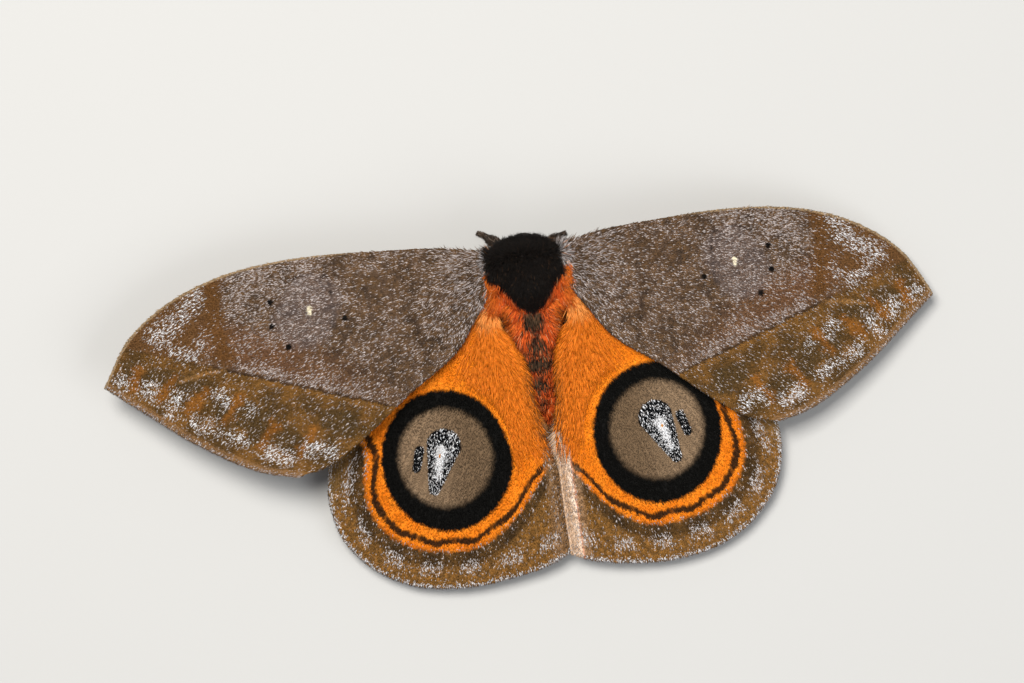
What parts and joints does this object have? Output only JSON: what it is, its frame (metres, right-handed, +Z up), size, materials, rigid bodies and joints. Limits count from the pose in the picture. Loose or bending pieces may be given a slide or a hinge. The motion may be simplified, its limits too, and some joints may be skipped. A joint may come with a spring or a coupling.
{
  "type": "eyed silkmoth model",
  "caption": "Life-size still model of a male eyed silkmoth at rest on its feet, its forewings swept forward and its eyespotted hindwings bared.",
  "frame": {"origin": "on the floor, under the middle of the moth's footprint", "axes": "+Z up from the floor, -Y the way the head points, +X to the moth's left"},
  "size_m": [0.105, 0.0446, 0.0119],
  "materials": {
    "black_fur": "matt black-brown fur",
    "body_bands": "matt rust-orange fur with dark bands",
    "forewing_scales": "matt brown scales with pale hairs",
    "hindwing_scales": "matt orange scales with a black-ringed eyespot",
    "leg_hair": "matt grey-brown hair",
    "antenna_horn": "matt brown horn",
    "eye_shell": "glossy faceted black"
  },
  "bodies": {
    "root": {"thorax": "black_fur", "head": "black_fur", "abdomen": "body_bands", "eye_left": "eye_shell", "eye_right": "eye_shell", "antenna_left": "antenna_horn", "antenna_right": "antenna_horn", "forewing_left": "forewing_scales", "forewing_right": "forewing_scales", "hindwing_left": "hindwing_scales", "hindwing_right": "hindwing_scales", "leg_fore_left": "leg_hair", "leg_fore_right": "leg_hair", "leg_mid_left": "leg_hair", "leg_mid_right": "leg_hair", "leg_hind_left": "leg_hair", "leg_hind_right": "leg_hair"}
  },
  "joints": []
}
